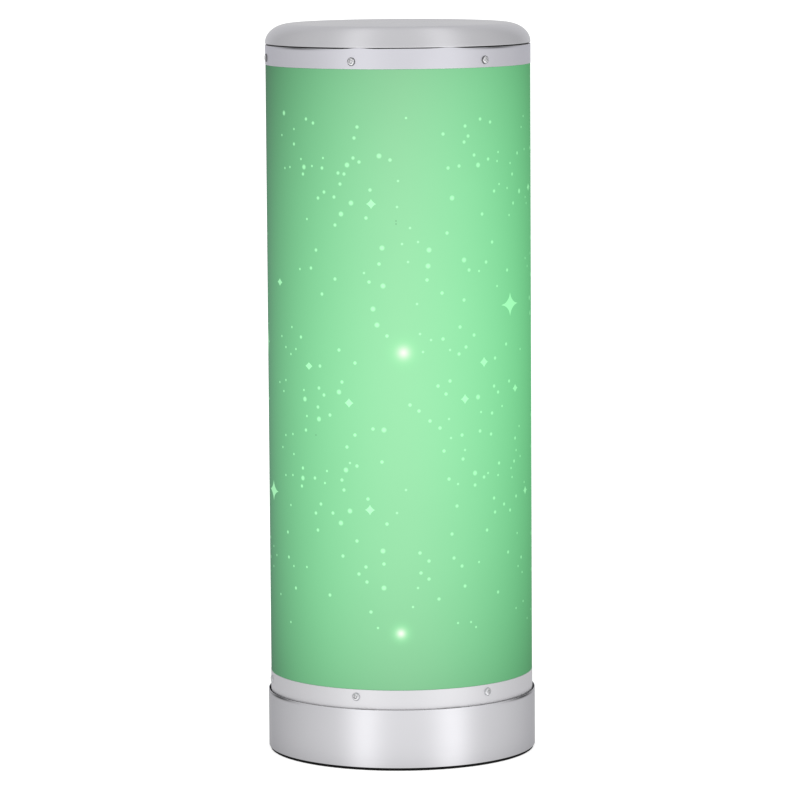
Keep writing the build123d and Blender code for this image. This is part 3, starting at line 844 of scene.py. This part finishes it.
def makeBaseShell():
    bm = bmesh.new()
    outer = radius("base_housing")
    inner = outer - base["wall"]
    low, top = heights("base_housing")
    low += base["skirtRise"]
    deckTop = top - base["lip"]
    deckLow = deckTop - base["deck"]
    bore = base["deckBore"]
    corners = (
        (outer, low), (outer, top), (inner, top), (inner, deckTop), (bore, deckTop),
        (bore, deckLow), (inner, deckLow), (inner, low),
    )
    spinOutline(bm, corners, base["segments"])
    roundEdges(bm, base["edgeRound"])
    for vert in bm.verts:
        if vert.co.z > top - 2 * base["edgeRound"] and vert.co.xy.length < inner + base["wall"] / 2:
            vert.co -= vert.co.normalized() * Vector((1, 1, 0)) * base["lipLean"] * seamWave(vert.co)
    # Faces inside the wall take the dark finish, painted shade of the gap between the lower band and the
    # lip
    for face in bm.faces:
        face.material_index = int(face.calc_center_median().xy.length < inner + base["dullShadeStart"])
    piece = finishMesh(bm, "base_shell", chromeFinish, dullShadeFinish)
    back = Vector((0, outer, 0))
    inletSpot = boxMiddle("dc_inlet") * Vector((1, 0, 1)) + back
    buttonSpot = boxMiddle("button_cap") * Vector((1, 0, 1)) + back
    lead = boxMiddle("lead_grommet")
    cutHoles(piece, (
        ("inlet_port", inletSpot, base["inletNose"] + base["portGap"], "Y"),
        ("button_port", buttonSpot, base["buttonReach"] + base["portGap"], "Y"),
        ("lead_port", Vector((lead.x, lead.y, deckLow)), base["leadHole"], "Z"),
    ))
    return place(piece, "lamp", "chrome", "base_housing")


# Thin bands round both ends of the glass
band = {
    "segments": 192,
    "wall": 0.5 * mm,
    "edgeRound": 0.09 * mm,
    "upperRise": 0.5 * mm,         # of the upper band's top edge, where the rims meet
}


def makeBand(node, name, finish, rise=0.0):
    bm = bmesh.new()
    outer = radius(node)
    inner = outer - band["wall"]
    low, top = heights(node)
    spinOutline(bm, ((outer, low), (outer, top), (inner, top), (inner, low)), band["segments"])
    roundEdges(bm, band["edgeRound"], material=1)
    for vert in bm.verts:
        if vert.co.z > top - 2 * band["edgeRound"]:
            vert.co.z += rise * seamWave(vert.co)
    return place(finishMesh(bm, name, finish, chromeFinish), "lamp", "chrome", node)


# Cap drawn from sheet, with a rounded shoulder and three studs inside
cap = {
    "segments": 192,
    "wall": 0.8 * mm,
    "rimHeight": 0.3 * mm,
    "shoulderReach": 9.2 * mm,
    "shoulderRise": 6.8 * mm,
    "shoulderSteps": 16,
    "edgeRound": 0.08 * mm,
    "studs": 3,
    "studAngle": -90.0,
    "studCircle": 35.75 * mm,
    "studReach": 1.4 * mm,
    "studShoulder": 2.4 * mm,
    "studSides": 32,
    "studSink": 0.2 * mm,          # into the sheet
}


def capStud(end, collar, top):
    bm = bmesh.new()
    thin, thick = cap["studReach"], cap["studShoulder"]
    corners = ((0, end), (thin, end), (thin, collar), (thick, collar), (thick, top), (0, top))
    spinOutline(bm, corners, cap["studSides"], False)
    roundEdges(bm, cap["edgeRound"], 2)
    return toMesh(bm, "cap_stud")


def makeCapShell():
    bm = bmesh.new()
    side = radius("top_cap")
    low, top = heights("top_cap")
    wall, steps = cap["wall"], cap["shoulderSteps"]
    reach, rise = cap["shoulderReach"], cap["shoulderRise"]
    rim = top - rise - cap["rimHeight"]
    middle = (side - reach, top - rise)
    inside = quarterArc(middle, reach - wall, rise - wall, steps)
    outside = quarterArc(middle, reach, rise, steps)
    corners = [(0, top - wall)] + inside[::-1] + [(side - wall, rim), (side, rim)] + outside + [(0, top)]
    spinOutline(bm, corners, cap["segments"], False)
    roundEdges(bm, cap["edgeRound"])
    stud = capStud(low, heights("cap_locating_ring")[1], top - wall + cap["studSink"])
    repeatMesh(bm, stud, ringSpots(cap["studs"], cap["studCircle"], cap["studAngle"], 0))
    return place(finishMesh(bm, "cap_shell", chromeFinish), "cap", "chrome", "top_cap")


makeBaseShell()
makeBand("lower_collar", "lower_band", paleLitFinish)
makeBand("upper_collar", "upper_band", bandFinish, band["upperRise"])
makeCapShell()
print("base, bands and cap made")

# Pan-headed screws with a cross recess: six in each band, three under the tray
bandScrew = {
    "reach": 1.5 * mm, "rise": 0.7 * mm, "shank": 1.2 * mm, "length": 3.6 * mm,
    "count": 6, "angle": -110.0, "dome": 2.4,
    "firstTurn": 0.4, "nextTurn": 1.3,       # radians, so that the recesses stand unevenly
}
trayScrew = {
    "reach": 2.8 * mm, "rise": 1.2 * mm, "shank": 1.4 * mm, "length": 6.6 * mm,
    "count": 3, "angle": -90.0, "circle": 35.85 * mm, "dome": 4.0,
}
recess = {"cells": 14, "width": 0.13, "length": 0.5, "depth": 0.3, "ring": 0.8}   # shares of the head
screwSmooth = 32.0       # degrees


def inCross(spot):
    short, long = sorted((abs(spot.x), abs(spot.y)))
    return short < recess["width"] and long < recess["length"]


# A square grid drawn round and domed, with the cross sunk into it
def addScrewHead(bm, screw):
    bmesh.ops.create_grid(bm, x_segments=recess["cells"], y_segments=recess["cells"], size=1)
    cross = [face for face in bm.faces if inCross(face.calc_center_median())]
    sunk = bmesh.ops.extrude_face_region(bm, geom=cross)["geom"]
    sunkVerts = {item for item in sunk if isinstance(item, bmesh.types.BMVert)}
    for vert in bm.verts:
        x, y, _ = vert.co
        spot = Vector((x * math.sqrt(1 - y * y / 2), y * math.sqrt(1 - x * x / 2)))
        height = math.sqrt(max(1 - spot.length ** screw["dome"], 0))
        height -= recess["depth"] if vert in sunkVerts else 0
        vert.co = (spot.x * screw["reach"], spot.y * screw["reach"], height * screw["rise"])
    # The cross and the outer ring take the second finish, which is painted shade on the upper band and tray
    # screws
    for face in bm.faces:
        sunkFace = all(vert in sunkVerts for vert in face.verts)
        outside = face.calc_center_median().xy.length > recess["ring"] * screw["reach"]
        face.material_index = int(sunkFace or outside)


def screwMesh(name, screw):
    bm = bmesh.new()
    addScrewHead(bm, screw)
    rim = [edge for edge in bm.edges if edge.is_boundary]
    for depth in (0, -screw["length"]):
        made = bmesh.ops.extrude_edge_only(bm, edges=rim)["geom"]
        rim = [item for item in made if isinstance(item, bmesh.types.BMEdge) and item.is_boundary]
        for vert in {vert for edge in rim for vert in edge.verts}:
            flat = vert.co.xy.normalized() * screw["shank"]
            vert.co = (flat.x, flat.y, depth)
    bmesh.ops.contextual_create(bm, geom=rim)
    bmesh.ops.recalc_face_normals(bm, faces=bm.faces)
    return toMesh(bm, name)


def makeBandScrews(node, name, seatNode, rim):
    bm = bmesh.new()
    height = boxMiddle(node).z
    outwards = Matrix.Rotation(quarterTurn, 4, "Y")
    spots = ringSpots(bandScrew["count"], radius(seatNode), bandScrew["angle"], height)
    for i, spot in enumerate(spots):
        turn = bandScrew["firstTurn"] + bandScrew["nextTurn"] * i
        spots[i] = spot @ outwards @ Matrix.Rotation(turn, 4, "Z")
    repeatMesh(bm, screwMesh(name, bandScrew), spots)
    piece = finishMesh(bm, name + "_heads", screwFinish, rim, smooth=screwSmooth)
    return place(piece, "lamp", "chrome", node)


def makeTrayScrews():
    bm = bmesh.new()
    downwards = Matrix.Rotation(math.pi, 4, "X")
    seat = heights("bottom_cover")[0]
    spots = ringSpots(trayScrew["count"], trayScrew["circle"], trayScrew["angle"], seat)
    repeatMesh(bm, screwMesh("tray_screw", trayScrew), [spot @ downwards for spot in spots])
    piece = finishMesh(bm, "tray_screws", finishes["zinc_plate"], dullShadeFinish, smooth=screwSmooth)
    return place(piece, "lamp", "zinc_plate", "cover_screws")


# Pressed tray that closes the base
tray = {"wall": 1.6 * mm, "rimHeight": 3.0 * mm, "bend": 1.0 * mm, "bendSteps": 5, "segments": 160}


def makeTray():
    bm = bmesh.new()
    outer = radius("bottom_cover")
    low = heights("bottom_cover")[0]
    wall, bend = tray["wall"], tray["bend"]
    top = low + wall + tray["rimHeight"]
    inner = outer - wall
    arc = quarterArc((outer - bend, low + bend), bend, -bend, tray["bendSteps"])
    corners = [(0, low)] + arc[::-1]
    corners += [(outer, top), (inner, top), (inner, low + wall), (0, low + wall)]
    spinOutline(bm, corners, tray["segments"], False)
    piece = finishMesh(bm, "bottom_tray", finishes["zinc_plate"])
    return place(piece, "lamp", "zinc_plate", "bottom_cover")


# Moulded foot with a soft lower edge and two grooves that grip the table
foot = {
    "bore": 39.5 * mm, "edgeRound": 0.1 * mm, "segments": 160,
    "groove": 0.8 * mm, "grooveDepth": 0.4 * mm, "grooveShares": (0.36, 0.68),     # of the way out
}


def makeFoot():
    bm = bmesh.new()
    outer = radius("foot_ring")
    low, top = heights("foot_ring")
    corners = [(foot["bore"], top), (foot["bore"], low)]
    for share in foot["grooveShares"]:
        left = foot["bore"] + (outer - foot["bore"]) * share - foot["groove"] / 2
        right = left + foot["groove"]
        deep = low + foot["grooveDepth"]
        corners += [(left, low), (left, deep), (right, deep), (right, low)]
    corners += [(outer, low), (outer, top)]
    spinOutline(bm, corners, foot["segments"])
    roundEdges(bm, foot["edgeRound"], below=low + foot["edgeRound"])
    piece = finishMesh(bm, "foot_pad", finishes["black_rubber"])
    return place(piece, "lamp", "black_rubber", "foot_ring")


makeBandScrews("lower_collar_screws", "lower_screw", "lower_collar", finishes["zinc_plate"])
makeBandScrews("upper_collar_screws", "upper_screw", "upper_collar", screwShadeFinish)
makeTray()
makeTrayScrews()
makeFoot()
print("screws, tray and foot made")

# Push button with a dished face
button = {
    "reach": 3.0 * mm, "flange": 4.1 * mm, "flangeDepth": 1.2 * mm, "boss": 2.0 * mm, "sides": 64,
    "round": 0.5 * mm, "roundSteps": 4, "dish": 0.35 * mm, "dishSteps": 6,
}
backwards = Matrix.Rotation(-quarterTurn, 4, "X")    # turns +Z to +Y


def makeButton():
    bm = bmesh.new()
    low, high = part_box("button_cap")
    middle = boxMiddle("button_cap")
    length = high.y - low.y
    reach, flange, boss = button["reach"], button["flange"], button["boss"]
    flangeTop = boss + button["flangeDepth"]
    bend = button["round"]
    edge = reach - bend
    corners = [(0, 0), (reach, 0), (reach, boss), (flange, boss), (flange, flangeTop), (reach, flangeTop)]
    corners += quarterArc((edge, length - bend), bend, bend, button["roundSteps"])
    for step in range(1, button["dishSteps"] + 1):
        share = 1 - step / button["dishSteps"]
        corners.append((edge * share, length - button["dish"] * (1 - share * share)))
    spinOutline(bm, corners, button["sides"], False)
    spot = Matrix.Translation((middle.x, low.y, middle.z)) @ backwards
    bmesh.ops.transform(bm, matrix=spot, verts=bm.verts)
    piece = finishMesh(bm, "push_button", finishes["black_plastic"])
    return place(piece, "button", "black_plastic", "button_cap")


# Metal sleeve round the centre pin of the socket
sleeve = {
    "reach": 1.04 * mm, "length": 8.4 * mm, "recess": 0.98 * mm, "sides": 32,
    "nose": 0.35 * mm, "noseSteps": 5,
}


def makeSleeve():
    bm = bmesh.new()
    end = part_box("dc_inlet")[1].y - sleeve["recess"]
    middle = boxMiddle("dc_inlet")
    reach, nose, length = sleeve["reach"], sleeve["nose"], sleeve["length"]
    corners = [(0, 0), (reach, 0)]
    corners += quarterArc((reach - nose, length - nose), nose, nose, sleeve["noseSteps"])
    corners += [(0, length)]
    spinOutline(bm, corners, sleeve["sides"], False)
    spot = Matrix.Translation((middle.x, end - length, middle.z)) @ backwards
    bmesh.ops.transform(bm, matrix=spot, verts=bm.verts)
    return place(finishMesh(bm, "socket_pin", finishes["zinc_plate"]), "lamp", "zinc_plate")


makeButton()
makeSleeve()
print("button and socket pin made")

# The other pieces keep their solids' shapes, merged so that round faces shade smoothly
skins = {
    "smooth": 26.0,
    "nodes": (
        "standoffs", "holder_screws", "control_board", "board_spacers", "board_screws",
        "board_components", "dc_inlet", "switch_body", "switch_plunger", "lower_holder", "upper_holder",
        "lower_gasket", "upper_gasket", "top_spider", "tie_rod", "rod_washers", "rod_nuts", "led_mast",
        "mast_foot", "mast_head", "led_strips", "led_emitters", "led_lenses", "lead_grommet",
        "led_leads", "cap_locating_ring", "cap_nuts",
    ),
}


def smoothSkin(node):
    bm = bmesh.new()
    bm.from_mesh(frame["nodes"][node].data)
    bmesh.ops.remove_doubles(bm, verts=bm.verts, dist=mergeGap)
    slot = slotOf[node]
    piece = finishMesh(bm, node + "_skin", finishes[slot], smooth=skins["smooth"])
    return place(piece, bodyOf[node], slot, node)


# The spring, against the front of the switch, keeps its solid's shape on a mesh of its own; the button's
# travel is read but not used
def makeSpring():
    piece = smoothSkin("switch_spring")
    low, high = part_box("switch_spring")
    joints = {joint["name"]: joint for joint in frame["record"]["behaviour"]["joints"]}
    travel = joints["button_press"]["range_m"][1]
    1 - travel / (high.y - low.y)
    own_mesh(piece)


for skinNode in skins["nodes"]:
    smoothSkin(skinNode)
makeSpring()
print("inner pieces finished:", len(skins["nodes"]) + 1)

# Studio: plain floor, soft surround and two tall soft panels that show in the chrome
studio = {
    "back": 0.505,
    "front": 1.0,
    "frontHigh": 0.75,                          # in front, level with the cap and above
    "right": 0.04,                              # more light from the right, below the cap
    "panels": ((-32.0, 15.5, 0.32), (44.0, 17.0, 0.36)),   # degrees round, width and gain
    "panelHigh": 0.58,                          # share of the gain kept level with the cap
    "turnHigh": 4.0,                            # degrees that the panels turn, level with the cap
    "lowLevel": -0.11,
    "highLevel": -0.03,
    "rear": 0.69,                               # behind, level with the cap and above
    "rearStart": 0.62,                          # turns to it between these shares of straight behind
    "rearEnd": 0.95,
    "floorSize": 60.0,
    "floorTone": 0.85,
    "floorRough": 0.9,
    "floorGlow": 0.62,
}


def makeStudio():
    world = bpy.data.worlds.new("studio")
    world.use_nodes = True
    scene.world = world
    wire = Wire(world.node_tree)
    x, y, z = split(wire, wire.node("ShaderNodeTexCoord", {}, {}, "Generated"))
    low, high = studio["lowLevel"], studio["highLevel"]
    climb = clamp(wire, (z - low) / (high - low))
    angle = wire.math("ARCTAN2", x, 1 - y) * 2 + climb * math.radians(studio["turnHigh"])
    front = studio["front"] + (studio["frontHigh"] - studio["front"]) * climb
    level = studio["back"] + (front - studio["back"]) * (0.5 + 0.5 * wire.math("COSINE", angle))
    level = level + studio["right"] * (1 - climb) * wire.math("SINE", angle)
    kept = 1 - (1 - studio["panelHigh"]) * climb
    for degrees, width, gain in studio["panels"]:
        level = level + kept * gain * bell(wire, (angle - math.radians(degrees)) / math.radians(width))
    turned = {"Value": y, "From Min": studio["rearStart"], "From Max": studio["rearEnd"]}
    behind = wire.node("ShaderNodeMapRange", {"interpolation_type": "SMOOTHSTEP"}, turned)
    level = level + climb * behind * (studio["rear"] - level)
    seen = wire.node("ShaderNodeLightPath", {}, {}, "Is Camera Ray")
    level = wire.math("MAXIMUM", level, seen)
    background = world.node_tree.nodes["Background"]
    world.node_tree.links.new(level.socket, background.inputs["Color"])


def makeFloor():
    bm = bmesh.new()
    bmesh.ops.create_grid(bm, x_segments=1, y_segments=1, size=studio["floorSize"] / 2)
    material = newFinish("pale_floor", {
        "Base Color": grey(studio["floorTone"]),
        "Roughness": studio["floorRough"],
        "Specular IOR Level": 0.0,
        "Emission Color": grey(1.0),
        "Emission Strength": studio["floorGlow"],
    })[0]
    floor = finishMesh(bm, "floor", material)
    floor.visible_glossy = False


makeStudio()
makeFloor()
print("studio set")
